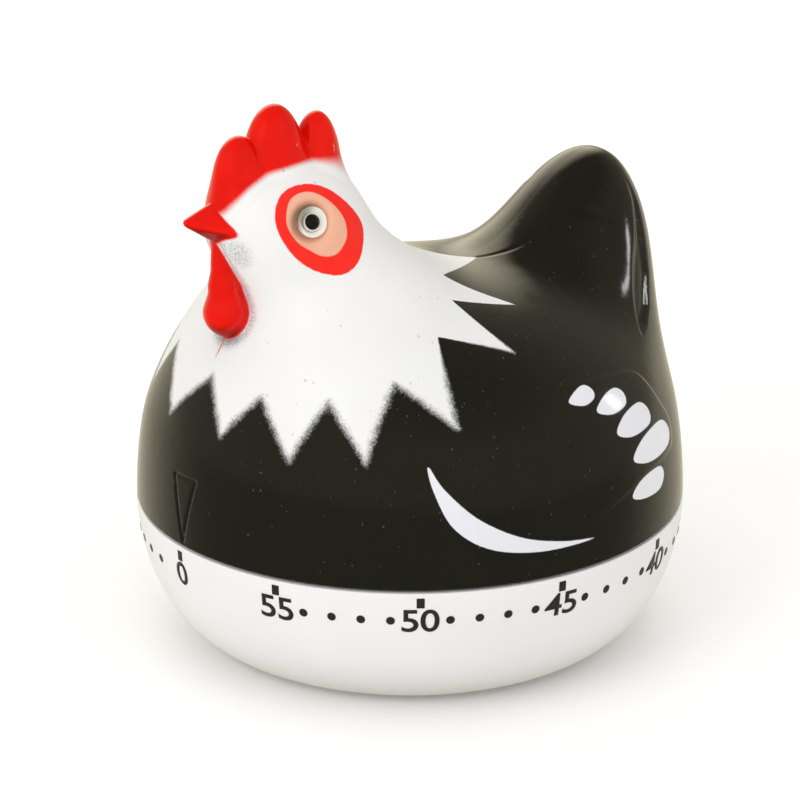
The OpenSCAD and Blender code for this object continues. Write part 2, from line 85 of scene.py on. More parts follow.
def view_axes(azimuth, elevation):
    """Right, up and back of a camera at that azimuth and elevation, in degrees."""
    a, e = math.radians(azimuth), math.radians(elevation)
    right = Vector((math.cos(a), math.sin(a), 0))
    back = Vector((math.sin(a) * math.cos(e), -math.cos(a) * math.cos(e), math.sin(e)))
    return right, back.cross(right), back


def make_camera():
    right, up, back = view_axes(CAMERA_AZIMUTH, CAMERA_ELEVATION)
    data = bpy.data.cameras.new("camera")
    data.lens = CAMERA_LENS
    data.sensor_width = 36
    camera = bpy.data.objects.new("camera", data)
    bpy.context.scene.collection.objects.link(camera)
    aim = Vector((0, 0, CAMERA_AIM_Z)) + right * CAMERA_ASIDE[0] + up * CAMERA_ASIDE[1]
    camera.location = aim + back * CAMERA_DISTANCE
    camera.rotation_mode = "QUATERNION"
    camera.rotation_quaternion = back.to_track_quat("Z", "Y")
    bpy.context.scene.camera = camera


def softbox(name, azimuth, elevation, distance, size, power, mirrored=True):
    """A rectangular light that looks at the middle of the object. The camera never sees it."""
    data = bpy.data.lights.new(name, "AREA")
    data.shape = "RECTANGLE"
    data.size, data.size_y = size
    data.energy = power
    lamp = bpy.data.objects.new(name, data)
    lamp.visible_glossy = mirrored
    lamp.visible_camera = False
    bpy.context.scene.collection.objects.link(lamp)
    back = view_axes(azimuth, elevation)[2]
    lamp.location = Vector((0, 0, 0.03)) + back * distance
    lamp.rotation_mode = "QUATERNION"
    lamp.rotation_quaternion = back.to_track_quat("Z", "Y")


# ---- node trees ----
class Graph:
    """Short calls for building a node tree. Values are numbers, colours or sockets."""

    def __init__(self, tree):
        self.tree = tree

    def node(self, kind, values=(), **settings):
        made = self.tree.nodes.new(kind)
        for key, value in settings.items():
            setattr(made, key, value)
        for key, value in dict(values).items():
            self.put(made.inputs[key], value)
        return made

    def put(self, socket, value):
        if isinstance(value, bpy.types.NodeSocket):
            self.tree.links.new(value, socket)
        else:
            socket.default_value = value

    def math(self, operation, *values):
        return self.node("ShaderNodeMath", enumerate(values), operation=operation).outputs[0]

    def times(self, a, b):
        return self.math("MULTIPLY", a, b)

    def plus(self, a, b):
        return self.math("ADD", a, b)

    def mix(self, share, first, second):
        made = self.node("ShaderNodeMix", data_type="RGBA")
        self.put(made.inputs[0], share)
        self.put(made.inputs[6], colour(first))
        self.put(made.inputs[7], colour(second))
        return made.outputs[2]

    def blend(self, share, first, second):
        made = self.node("ShaderNodeMix", data_type="FLOAT")
        for index, value in ((0, share), (2, first), (3, second)):
            self.put(made.inputs[index], value)
        return made.outputs[0]

    def rise(self, value, low, high):
        """0 below low, 1 above high, smooth between."""
        made = self.node("ShaderNodeMapRange", {0: value, 1: low, 2: high}, interpolation_type="SMOOTHSTEP")
        return made.outputs[0]

    def noise(self, per_mm, detail=2.0, roughness=0.5, stretch=None):
        """Noise from 0 to 1 with about that many blobs in a millimetre."""
        place = self.node("ShaderNodeTexCoord").outputs["Object"]
        if stretch:
            place = self.node("ShaderNodeMapping", {0: place, 3: stretch}).outputs[0]
        made = self.node("ShaderNodeTexNoise", {"Vector": place, "Scale": per_mm / MM, "Detail": detail,
                                                "Roughness": roughness})
        return made.outputs[0]

    def fall(self, value, low, high):
        """1 below low, 0 above high, smooth between."""
        return self.math("SUBTRACT", 1.0, self.rise(value, low, high))

    def place(self):
        """Across (toward the hen's left), along (toward the tail) and height."""
        return self.split(self.node("ShaderNodeTexCoord").outputs["Object"])

    def split(self, vector):
        return self.node("ShaderNodeSeparateXYZ", {0: vector}).outputs

    def along_way(self, vector, way):
        """How far a direction points the given way, 1 at most."""
        dot = self.node("ShaderNodeVectorMath", {0: vector, 1: tuple(way)}, operation="DOT_PRODUCT")
        return dot.outputs["Value"]

    def field(self, name):
        """A number stored on the mesh's points."""
        return self.node("ShaderNodeAttribute", attribute_name=name).outputs["Fac"]

    def bump(self, height, depth_mm, normal=None):
        made = self.node("ShaderNodeBump", {"Height": height, "Distance": depth_mm * MM, "Strength": 1.0})
        if normal is not None:
            self.put(made.inputs["Normal"], normal)
        return made.outputs[0]

    def surface(self, values):
        shader = self.node("ShaderNodeBsdfPrincipled", values)
        output = self.node("ShaderNodeOutputMaterial", {"Surface": shader.outputs[0]})
        output.is_active_output = True


def colour(value):
    return (*value, 1.0) if isinstance(value, tuple) and len(value) == 3 else value


def new_material(name):
    made = bpy.data.materials.new(name)
    made.use_nodes = True
    made.node_tree.nodes.clear()
    return made, Graph(made.node_tree)


# ---- the hen's form, as in the CAD ----
SHELL_C = np.array([0, 0, SHELL_Z])
BODY_H = 29.2
BODY_POWER = 2.35
BLEND = 3.5
OVALS = [  # centre, radii, tilt in degrees: head, chest, tail
    ((0, -19.2, 58), (8.8, 9.9, 8.5), 0),
    ((0, -12.2, 38.5), (19.2, 13.7, 16), -9),
    ((0, 20.9, 32), (12.3, 11.9, 28.4), -16.4),
]
ROUND_UNTIL = 20.0
CHIN = np.array([0, -29.0, 51.5])               # the skin is a little hollow round this point
CHIN_SPREAD = 5.0
CHIN_DEPTH = 1.0
LEAST_R, MOST_R = 8.0, 62.0                     # the skin lies between these distances from SHELL_C
REACH_HALVINGS = 26


def oval(p, centre, radii, tilt):
    c, s = math.cos(math.radians(tilt)), math.sin(math.radians(tilt))
    q = p - np.array(centre)
    q = np.stack([q[..., 0], q[..., 1] * c + q[..., 2] * s, q[..., 2] * c - q[..., 1] * s], -1)
    return (np.linalg.norm(q / np.array(radii), axis=-1) - 1) * min(radii)


def round_body(p):
    flat = np.hypot(p[..., 0], p[..., 1]) / SEAM_R
    tall = np.abs(p[..., 2] - SHELL_Z) / BODY_H
    return ((flat ** BODY_POWER + tall ** BODY_POWER) ** (1 / BODY_POWER) - 1) * BODY_H


def form(p):
    """Below 0 inside the hen, about the distance to the skin in millimetres near it."""
    fields = np.stack([round_body(p)] + [oval(p, *o) for o in OVALS], -1)
    least = fields.min(-1)
    hollow = CHIN_DEPTH * np.exp(-((p - CHIN) ** 2).sum(-1) / (2 * CHIN_SPREAD ** 2))
    return least - BLEND * np.log(np.exp(-(fields - least[..., None]) / BLEND).sum(-1)) + hollow


def ease(x):
    t = np.clip(x, 0, 1)
    return t * t * (3 - 2 * t)


def reach(d, level=0.0):
    """How far from the shell's centre the form has that level, along each direction."""
    low, high = np.full(len(d), LEAST_R), np.full(len(d), MOST_R)
    for _ in range(REACH_HALVINGS):
        middle = (low + high) / 2
        inside = form(SHELL_C + middle[:, None] * d) < level
        low, high = np.where(inside, middle, low), np.where(inside, high, middle)
    return (low + high) / 2


def outer_r(d):
    share = ease(np.degrees(np.arcsin(np.clip(d[:, 2], -1, 1))) / ROUND_UNTIL)
    return SEAM_R + (reach(d) - SEAM_R) * share


def inner_r(d):
    return outer_r(d) - (reach(d) - reach(d, -SHELL_WALL))


def spot(bearing, elevation):
    """Unit direction from the shell's centre. Bearing 0 is the front, 90 the hen's left side."""
    b, e = np.radians(bearing), np.radians(elevation)
    return np.stack([np.sin(b) * np.cos(e), -np.cos(b) * np.cos(e), np.sin(e) + 0 * b], -1)


# ---- outlines on the skin, as (bearing, elevation) in degrees ----
BIB_LEFT = [(2, 35.2), (12.1, 25.2), (20.3, 34.8), (31.3, 23.8), (38.1, 36.4), (48.4, 25.4), (53.9, 41.2),
            (68.8, 32.2), (66.8, 52.1), (92.2, 47.6), (77.9, 63.4), (113.5, 59.8), (83.7, 73.2), (166, 73.2)]
BIB_RIGHT = [(-65, 77), (-113.5, 59.8), (-77.9, 63.4), (-92.2, 47.6), (-66.8, 52.1), (-68.8, 32.2),
             (-53.9, 41.2), (-46, 25.4), (-36, 36.4), (-29.5, 24), (-23.8, 35.3), (-8.5, 24.4)]
BIB_MIDDLE = (0, 62)
PATCH = [(16.3, 59.8), (15.4, 63.2), (19.2, 67.3), (26.5, 69.6), (33, 70.2), (36.4, 67.2), (36.8, 63.4),
         (34, 60.3), (28.6, 58.4), (22.6, 57.3), (18.8, 57.9)]
PEACH = [(18.9, 60.4), (17.9, 63), (20.1, 65.7), (25.2, 67.1), (29.9, 67.1), (32.0, 65.2), (30.9, 62.2),
         (27.6, 60.1), (23.2, 59.1), (20.3, 59.3)]
CRESCENT_OUT = [(61.7, 24.8), (62.7, 20), (66.6, 12.6), (74, 7.7), (85, 5.6), (98.5, 5.5)]
CRESCENT_IN = [(90.3, 6.7), (80.8, 9.2), (71.8, 14), (65, 20.2)]
FEATHERS = [
    [(100, 33.4), (103.8, 35.3), (107.6, 35.8), (109.5, 34.1), (108.2, 32.4), (104, 31.8)],
    [(107, 29.7), (111.6, 31.9), (117.2, 32.4), (119.5, 30.5), (117.7, 28.3), (111.5, 27.9)],
    [(110.2, 24), (115.4, 26.7), (123.2, 27.1), (125.8, 24.6), (123.6, 22.2), (115, 22)],
    [(112.8, 17.6), (118.7, 20.6), (129.2, 21), (132.4, 18), (129, 15.5), (119, 15.4)],
    [(110.5, 10.6), (114.7, 13.1), (122.8, 13.2), (124.6, 10.9), (121.6, 8.7), (114.6, 9)],
]
WING = [(70, 38), (87.5, 38.6), (103, 37), (119.7, 35.2), (129.5, 32.6), (132.4, 28.6), (133.6, 24),
        (135, 19.5), (132.6, 15), (126, 14), (117.9, 13.6), (109.7, 12), (100, 9.8), (85, 8.2), (70, 14)]
TAIL_GROOVE = [(171, 51.5), (167.7, 49), (163.2, 46.7), (159, 44.6), (154.8, 41.5), (150.5, 38), (147, 34.6),
               (152.2, 34.4), (157.5, 35.6), (162.6, 39.1), (166.2, 44), (169.6, 48.2)]
TAIL_LIP = [(169, 60.3), (166.8, 58.6), (163.9, 57.3), (162.3, 55.4), (161.5, 52)]
TAIL_TIP = (174, 60)
TAIL_TIP_RAISED = 0.7
TAIL_TIP_SPREAD = 13.0
SADDLE_LINE = [(167, 73), (165.2, 69.5), (163.9, 66.8), (163.4, 64.4), (164.2, 62)]
INDEX = [(0, 13.9), (7.6, 14.3), (4.5, 0.9)]


def turned(points, per_span=8, closed=True):
    """A smooth curve through the points (Catmull-Rom)."""
    points = np.array(points, float)
    count = len(points)
    made = []
    for k in range(count if closed else count - 1):
        around = [k - 1, k, k + 1, k + 2]
        picked = [i % count if closed else min(max(i, 0), count - 1) for i in around]
        a, b, c, d = points[picked]
        for t in np.arange(per_span) / per_span:
            made.append(0.5 * (2 * b + (c - a) * t + (2 * a - 5 * b + 4 * c - d) * t ** 2
                               + (3 * b - a - 3 * c + d) * t ** 3))
    if not closed:
        made.append(points[-1])
    return np.array(made)


AWAY = 40.0                                     # stands for any distance beyond a chart's reach


class Chart:
    """A flat map of directions around one middle direction. Its unit is a millimetre on the skin there."""

    def __init__(self, middle):
        self.axis = spot(*middle)
        side = np.cross([0, 0, 1.0], self.axis)
        self.right = side / np.linalg.norm(side)
        self.up = np.cross(self.axis, self.right)
        self.scale = outer_r(self.axis[None])[0]

    def flat(self, d):
        along = np.clip(d @ self.axis, -1, 1)
        angle = np.arccos(along)
        share = np.where(angle > 1e-6, angle / np.maximum(np.sin(angle), 1e-9), 1.0) * self.scale
        return np.stack([d @ self.right * share, d @ self.up * share], -1)


def to_segments(points, path, closed):
    """Distance of each point to the path, and whether it is inside if the path is closed."""
    best = np.full(len(points), 1e9)
    inside = np.zeros(len(points), bool)
    for k in range(len(path) if closed else len(path) - 1):
        a, b = path[k], path[(k + 1) % len(path)]
        ab = b - a
        t = np.clip((points - a) @ ab / max(ab @ ab, 1e-12), 0, 1)
        best = np.minimum(best, np.linalg.norm(points - a - t[:, None] * ab, axis=1))
        spans = (a[1] > points[:, 1]) != (b[1] > points[:, 1])
        cut = (b[0] - a[0]) * (points[:, 1] - a[1]) / (b[1] - a[1] if b[1] != a[1] else 1e-12) + a[0]
        inside ^= spans & (points[:, 0] < cut)
    return best, inside


def middle_of(outline):
    total = spot(*np.array(outline, float).T).mean(0)
    total /= np.linalg.norm(total)
    return math.degrees(math.atan2(total[0], -total[1])), math.degrees(math.asin(total[2]))


def within(d, outline, smooth=True, middle=None):
    """Signed distance in millimetres to an outline on the skin, above 0 inside it."""
    chart = Chart(middle or middle_of(outline))
    path = chart.flat(spot(*np.array(outline, float).T))
    path = turned(path) if smooth else path
    near, inside = to_segments(chart.flat(d), path, True)
    facing = d @ chart.axis > -0.2
    return np.where(facing, np.where(inside, near, -near), -AWAY)


def beside(d, line):
    """Distance in millimetres to a line on the skin."""
    chart = Chart(middle_of(line))
    path = turned(chart.flat(spot(*np.array(line, float).T)), closed=False)
    return to_segments(chart.flat(d), path, False)[0]


# ---- moulded details: how far the skin goes in, in millimetres ----
EYE_AT = np.array([9.0, -19.7, 60.2])
EYE_TURN = -5.6
EYE_LIFT = 20.2
EYE_R = 1.96
SOCKET_R = 3.3
SOCKET_DEPTH = 1.25
EYE_ASIDE, EYE_RAISED = 0.4, 0.2                 # the bead sits toward the back and top of its socket
GROOVE_DEPTH = 0.6
LIP_DEPTH = 0.3
SADDLE_DEPTH = 0.13
INDEX_DEPTH = 0.2
WING_RAISED = 0.11


def eye_axes():
    """Axis, right and up of the left eye."""
    t, e = math.radians(EYE_TURN), math.radians(EYE_LIFT)
    axis = np.array([math.cos(t) * math.cos(e), math.sin(t) * math.cos(e), math.sin(e)])
    right = np.array([-math.sin(t), math.cos(t), 0])
    return axis, right, np.cross(axis, right)


def from_eye(p):
    """Distance of each point (x >= 0) from the eye's axis."""
    axis = eye_axes()[0]
    q = p - EYE_AT
    return np.linalg.norm(q - np.outer(q @ axis, axis), axis=1)


def eye_shade_shift():
    """The socket's painted shade lies a little toward the front and the top."""
    _, right, up = eye_axes()
    return 0.35 * up + (EYE_ASIDE - 0.45) * right


def socket(p):
    out = from_eye(p)
    return SOCKET_DEPTH * (1 - ease((out - EYE_R * 0.93) / (SOCKET_R - EYE_R * 0.93))) * (p[:, 0] > 2)


def sunk(d, side):
    """How far one half's skin goes in along each direction, given as for the left half."""
    groove = within(d, TAIL_GROOVE, smooth=False)
    depth = GROOVE_DEPTH * ease((groove + 0.25) / 1.5)
    depth += LIP_DEPTH * (1 - ease(beside(d, TAIL_LIP) / 0.55))
    from_tip = np.degrees(np.arccos(np.clip(d @ spot(*TAIL_TIP), -1, 1)))
    depth -= TAIL_TIP_RAISED * (1 - ease(from_tip / TAIL_TIP_SPREAD))
    if side > 0:
        depth += SADDLE_DEPTH * (1 - ease(beside(d, SADDLE_LINE) / 0.45))
    bearing = np.degrees(np.arctan2(d[:, 0], -d[:, 1]))
    raised = ease((within(d, WING) + 0.3) / 0.7) * ease((bearing - 74) / 30)
    depth -= WING_RAISED * raised
    return depth


# ---- comb, beak and wattle as smooth solids ----
COMB_LOBES = [  # centre (y, z), half sizes (x, y, z), lean in degrees
    ((-24.8, 62.5), (3.3, 3.7, 7.4), 1.5),
    ((-19.9, 64.5), (3.7, 4.2, 8.7), 0),
    ((-13.9, 63.5), (3.2, 3.2, 7.9), -1),
]
BEAK_TIP = np.array([0, -34.0, 60.1])
BEAK_TOP = np.array([0, -26.9, 63.1])
BEAK_SIDE = np.array([4.8, -27.2, 58.6])
BEAK_LOW = np.array([0, -26.6, 55.1])
BEAK_BACK = -25.8
WATTLE = [((0, -27.2, 56.8), 1.55), ((0, -27.35, 53.6), 1.6),
          ((0, -27.1, 50.6), 2.2), ((0, -26.8, 47.4), 3.15)]
SPRAY_AND_SHADE_AT = np.array([3.9, -27.2, 56.2])          # grey overspray specks and painted shade under the beak's corner
SPRAY_AND_SHADE_R = 3.0


def soft_min(a, b, k):
    """The lower of two fields, rounded over k where they are alike."""
    h = np.maximum(k - np.abs(a - b), 0) / k
    return np.minimum(a, b) - h * h * k / 4


def comb_field(p):
    made = None
    for (y, z), half, lean in COMB_LOBES:
        lobe = oval(p, (0, y, z), half, lean)
        made = lobe if made is None else soft_min(made, lobe, 0.12)
    return made


def beak_field(p):
    """A blunt four-sided pyramid; the sides meet in ridges that are a little rounded."""
    q = p * [-1, 1, 1]
    made = None
    for near, low, far in ((p, BEAK_TOP, BEAK_SIDE), (p, BEAK_SIDE, BEAK_LOW),
                           (q, BEAK_TOP, BEAK_SIDE), (q, BEAK_SIDE, BEAK_LOW)):
        face = np.cross(low - BEAK_TIP, far - BEAK_TIP)
        face = -face / np.linalg.norm(face)
        out = (near - BEAK_TIP) @ face
        made = out if made is None else -soft_min(-made, -out, 0.9)
    blunt = -(p[..., 1] + 33.5)
    back = p[..., 1] - BEAK_BACK
    return np.maximum(-soft_min(-made, -blunt, 0.9), back)


def wattle_field(p):
    """A drop that hangs on a thin stem: a chain of round cones."""
    made = None
    for (a, ra), (b, rb) in zip(WATTLE, WATTLE[1:]):
        a, b = np.array(a), np.array(b)
        t = np.clip((p - a) @ (b - a) / ((b - a) @ (b - a)), 0, 1)
        out = np.linalg.norm(p - a - t[..., None] * (b - a), axis=-1) - (ra + (rb - ra) * ease(t))
        made = out if made is None else np.minimum(made, out)
    return made


# ---- paint: numbers on the mesh's points that the paint's node tree reads ----
COMB_EDGE = [(-29.4, 60.0), (-28.4, 61.3), (-27.2, 62.8), (-25.2, 64.5), (-21.8, 65.9), (-17.5, 66.3),
             (-14, 65.6), (-11.5, 64.4), (-8.5, 62.0)]
HEAD_Z = 50.0                                    # face patch and eyes are above this height
NOT_NEAR = 9.0                                   # stands for any distance too far to matter


def comb_paint(p):
    """Above 0 over the comb's lower paint edge, a curve seen from the side."""
    edge = turned(COMB_EDGE, closed=False)
    level = np.interp(p[:, 1], edge[:, 0], edge[:, 1])
    slope = np.interp(p[:, 1], edge[1:, 0], np.diff(edge[:, 1]) / np.diff(edge[:, 0]))
    return np.minimum((p[:, 2] - level) / np.hypot(1, slope), AWAY)


def paint(mesh, p):
    """Stores the distances to each colour's edge, in millimetres. p is the mesh's points in millimetres."""
    d = p - SHELL_C
    d /= np.linalg.norm(d, axis=1)[:, None]
    half = d.copy()
    half[:, 0] = np.abs(half[:, 0])
    mirrored = p.copy()
    mirrored[:, 0] = np.abs(mirrored[:, 0])
    bib = within(d, BIB_LEFT + BIB_RIGHT, smooth=False, middle=BIB_MIDDLE)
    marks = within(half, CRESCENT_OUT + CRESCENT_IN)
    for feather in FEATHERS:
        marks = np.maximum(marks, within(half, feather))
    on_head = p[:, 2] > HEAD_Z
    fields = {
        "black": -bib,
        "marks": marks,
        "patch": np.where(on_head, within(half, PATCH), -NOT_NEAR),
        "peach": np.where(on_head, within(half, PEACH), -NOT_NEAR),
        "comb": comb_paint(p),
        "beak": np.maximum(-beak_field(p), -NOT_NEAR),
        "wattle": np.maximum(-wattle_field(p), -NOT_NEAR),
        "eye": np.where(on_head, from_eye(mirrored - eye_shade_shift()), NOT_NEAR),
        "spray_and_shade": SPRAY_AND_SHADE_R - np.linalg.norm(mirrored - SPRAY_AND_SHADE_AT, axis=1),
        "index": np.abs(within(d, INDEX, smooth=False)),
    }
    for name, values in fields.items():
        attribute = mesh.attributes.new(name, "FLOAT", "POINT")
        attribute.data.foreach_set("value", values.astype(np.float32))


def bib_black(g, ragged):
    """1 on the black, 0 on the bib. The edge is soft where the mask stood off, low on the breast."""
    soft = g.blend(g.rise(g.place()[2], 40.5 * MM, 47 * MM), 1.1, 0.13)
    edge = g.plus(g.field("black"), g.times(ragged, g.times(soft, 3.0)))
    return g.rise(g.math("DIVIDE", edge, soft), -1.0, 1.0)


def black_and_white(g, black, grain):
    """The bib's white with specks, the black with dust and painted shade along the index triangle's engraved
    outline, the marks of the wing.
    """
    specks = g.math("GREATER_THAN", g.noise(1.5, 0.0), 0.845)
    white_tone = g.mix(g.noise(0.12, 3.0), (0.80, 0.795, 0.775), (0.86, 0.86, 0.85))
    white_tone = g.mix(g.times(specks, 0.45), white_tone, (0.35, 0.34, 0.32))
    dust = g.math("GREATER_THAN", g.noise(2.4, 0.0), 0.83)
    black_tone = g.mix(g.noise(0.1, 2.0), (0.0050, 0.0045, 0.0026), (0.0085, 0.0076, 0.0048))
    black_tone = g.mix(g.times(dust, 0.3), black_tone, (0.16, 0.15, 0.12))
    # painted shade: the black darkens further along the engraved outline of the index triangle
    line = g.fall(g.field("index"), 0.05, 0.28)
    black_tone = g.mix(g.times(line, 0.7), black_tone, (0.0008, 0.0008, 0.0006))
    tone = g.mix(black, white_tone, black_tone)
    marks = g.rise(g.plus(g.field("marks"), g.times(grain, 0.08)), -0.07, 0.07)
    return g.mix(marks, tone, (0.80, 0.80, 0.84))


def face_patch(g, tone):
    """Red face patch with a slightly chipped edge, a peach oval in it, and painted shade in the eye's socket.
    """
    chipped = g.times(g.math("SUBTRACT", g.noise(1.6, 3.0, 0.7), 0.5), 0.22)
    patch = g.rise(g.plus(g.field("patch"), chipped), -0.07, 0.07)
    tone = g.mix(patch, tone, g.mix(g.noise(0.4, 2.0), (0.90, 0.015, 0.008), (0.97, 0.026, 0.014)))
    peach = g.rise(g.field("peach"), -0.06, 0.06)
    tone = g.mix(peach, tone, g.mix(g.noise(0.5, 2.0), (0.83, 0.42, 0.28), (0.88, 0.48, 0.33)))
    # painted shade: the skin turns dark brown in the eye's socket, where the socket's wall shades it
    socket_shade = g.times(g.fall(g.field("eye"), 1.8, 2.9), 0.7)
    return g.mix(socket_shade, tone, (0.24, 0.13, 0.06)), patch


def red_cover(g, ragged, grain):
    """1 on comb, beak and wattle: the comb fades out in a pink mist, beak and wattle end crisp."""
    rear = g.rise(g.place()[1], -17 * MM, -10 * MM)
    mist = g.plus(g.field("comb"), g.times(ragged, 0.25))
    comb = g.rise(mist, g.blend(rear, -0.4, -1.3), g.blend(rear, 0.35, 1.6))
    fuzz = g.times(grain, 0.1)
    beak = g.rise(g.plus(g.field("beak"), fuzz), -0.35, -0.12)
    wattle = g.rise(g.plus(g.field("wattle"), fuzz), -0.40, -0.15)
    return g.math("MAXIMUM", comb, g.math("MAXIMUM", beak, wattle))


def overspray(g, tone):
    """Paint dust round the wattle and under the beak's corners over a soft painted shade, painted shade just
    under the wattle, and the red parting line below them.
    """
    across, along, height = g.place()[:3]
    near = g.field("wattle")
    spray_and_shade_zone = g.math("MAXIMUM", g.rise(near, -2.2, -1.0), g.rise(g.field("spray_and_shade"), 0.0, 2.0))
    dots = g.rise(g.plus(g.noise(5.5, 1.0), g.times(spray_and_shade_zone, 0.10)), 0.57, 0.66)
    # the grey specks are paint overspray; the soft grey wash under them is painted shade
    cover = g.times(spray_and_shade_zone, g.plus(g.times(dots, 0.45), 0.14))
    tone = g.mix(cover, tone, (0.26, 0.25, 0.28))
    below = g.fall(height, 44.2 * MM, 45.8 * MM)
    # painted shade: the skin darkens just under the wattle's bottom
    under_wattle_shade = g.times(g.times(g.rise(near, -1.5, -0.15), below), 0.65)
    tone = g.mix(under_wattle_shade, tone, (0.13, 0.11, 0.14))
    halo = g.times(g.rise(near, -0.95, -0.66), g.fall(near, -0.66, -0.48))
    halo = g.times(halo, g.rise(height, 45 * MM, 47 * MM))
    tone = g.mix(g.times(halo, 0.6), tone, (0.80, 0.26, 0.30))
    joint = g.fall(g.math("ABSOLUTE", across), 0.07 * MM, 0.2 * MM)
    joint = g.times(joint, g.times(g.rise(height, 41.2 * MM, 42.6 * MM), below))
    joint = g.times(joint, g.math("LESS_THAN", along, -20 * MM))
    return g.mix(g.times(joint, 0.85), tone, (0.75, 0.03, 0.03))


def hen_paint():
    """Sprayed gloss paint on moulded plastic: white and black with airbrushed edges, red head parts."""
    made, g = new_material("hen_paint")
    grain = g.math("SUBTRACT", g.noise(4.5, 1.0, 0.6), 0.5)
    wander = g.math("SUBTRACT", g.noise(0.8, 3.0, 0.55), 0.5)
    ragged = g.plus(g.times(wander, 0.35), g.times(grain, 0.5))
    black = bib_black(g, ragged)
    red = red_cover(g, ragged, grain)
    tone, patch = face_patch(g, black_and_white(g, black, grain))
    tone = overspray(g, tone)
    # painted shade: red faces that point down are darkened and mirror less, as if out of the light
    down_facing_shade = g.fall(g.split(g.node("ShaderNodeNewGeometry").outputs["Normal"])[2], -0.75, -0.1)
    red_tone = g.mix(g.noise(0.25, 3.0), (0.64, 0.001, 0.0001), (0.88, 0.007, 0.0008))
    red_tone = g.mix(g.times(down_facing_shade, 0.75), red_tone, (0.16, 0.004, 0.002))
    tone = g.mix(red, tone, red_tone)
    peel = g.bump(g.noise(0.55, 2.0), 0.02)
    fine = g.bump(g.noise(3.5, 3.0), 0.006, normal=peel)
    rough = g.blend(g.math("MAXIMUM", black, red), 0.38, 0.09)
    rough = g.plus(rough, g.times(g.noise(0.3, 3.0), 0.06))
    shine = g.blend(g.math("MAXIMUM", red, patch), 0.5, g.blend(down_facing_shade, g.blend(red, 0.28, 0.42), 0.08))
    g.surface({"Base Color": tone, "Roughness": rough, "Normal": fine, "IOR": 1.43,
               "Specular IOR Level": shine})
    return made


# ---- meshes ----
def mesh_object(name, points_mm, faces, smooth_deg=180):
    """A mesh object from points in millimetres, linked to the scene."""
    mesh = bpy.data.meshes.new(name)
    mesh.from_pydata((np.asarray(points_mm) * MM).tolist(), [], [list(map(int, f)) for f in faces])
    mesh.validate()
    mesh.shade_smooth()
    if smooth_deg < 180:
        mesh.set_sharp_from_angle(angle=math.radians(smooth_deg))
    made = bpy.data.objects.new(name, mesh)
    bpy.context.scene.collection.objects.link(made)
    return made


def finish_piece(piece, body, slot, material, *nodes):
    piece.data.materials.append(material)
    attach(piece, body)
    if nodes:
        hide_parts(*nodes)
    return piece


SKIN_CELLS = 125         # cells in 45 degrees of the skin
LINING_STEP = 5                                # skin cells to one cell of the lining


def quarter_grid(cells):
    """Directions and quads that cover x >= 0, z >= 0, as the faces of a cube blown up to a ball."""
    t = np.tan(np.linspace(0, 45, cells + 1) * math.pi / 180)
    both = np.concatenate([-t[:0:-1], t])
    patches = [(both, t, lambda u, v: (1, u, v)), (both, t, lambda u, v: (v, -u, 1)),
               (t, t, lambda u, v: (u, -1, v)), (t, t, lambda u, v: (v, 1, u))]
    points, quads, total = [], [], 0
    for us, vs, place in patches:
        for u in us:
            points.extend(place(u, v) for v in vs)
        wide = len(vs)
        for i in range(len(us) - 1):
            for j in range(wide - 1):
                a = total + i * wide + j
                quads.append((a, a + wide, a + wide + 1, a + 1))
        total += len(us) * wide
    points = np.array(points, float)
    points /= np.linalg.norm(points, axis=1)[:, None]
    kept, index = np.unique(np.round(points, 7), axis=0, return_inverse=True)
    return kept / np.linalg.norm(kept, axis=1)[:, None], index.ravel()[np.array(quads)]


def rim_order(d):
    """Indices of the border directions, along the seam from front to back, then back over the top."""
    seam = np.where(d[:, 2] < 1e-6)[0]
    middle = np.where((d[:, 0] < 1e-6) & (d[:, 2] >= 1e-6))[0]
    seam = seam[np.argsort(np.arctan2(d[seam, 0], -d[seam, 1]))]
    middle = middle[np.argsort(np.arctan2(d[middle, 2], d[middle, 1]))]
    return np.concatenate([seam, middle])


def hen_half(name, side, node, material):
    """One half shell: fine skin with the moulded details, coarse lining, flat joint faces."""
    d, skin = quarter_grid(SKIN_CELLS)
    d_in, lining = quarter_grid(SKIN_CELLS // LINING_STEP)
    outside = SHELL_C + (outer_r(d) - sunk(d, side))[:, None] * d
    outside -= socket(outside)[:, None] * eye_axes()[0]
    from_index = np.abs(within(d * [side, 1, 1], INDEX, smooth=False))
    outside -= (INDEX_DEPTH * (1 - ease(from_index / 0.32)))[:, None] * d
    inside = SHELL_C + inner_r(d_in)[:, None] * d_in
    points = np.concatenate([outside, inside])
    rim, rim_in = rim_order(d), rim_order(d_in) + len(d)
    faces = [tuple(q) for q in skin] + [tuple(q[::-1] + len(d)) for q in lining]
    for k in range(len(rim_in)):
        wide = [rim[(k * LINING_STEP + i) % len(rim)] for i in range(LINING_STEP + 1)]
        faces.append((*wide, rim_in[(k + 1) % len(rim_in)], rim_in[k]))
    points[:, 0] *= side
    if side > 0:
        faces = [f[::-1] for f in faces]
    piece = mesh_object(name, points, faces, 60)
    recalc_outward(piece.data)
    paint(piece.data, points)
    return finish_piece(piece, "hen", "shell_paint", material, node)


def recalc_outward(mesh):
    b = bmesh.new()
    b.from_mesh(mesh)
    bmesh.ops.recalc_face_normals(b, faces=b.faces)
    b.to_mesh(mesh)
    b.free()


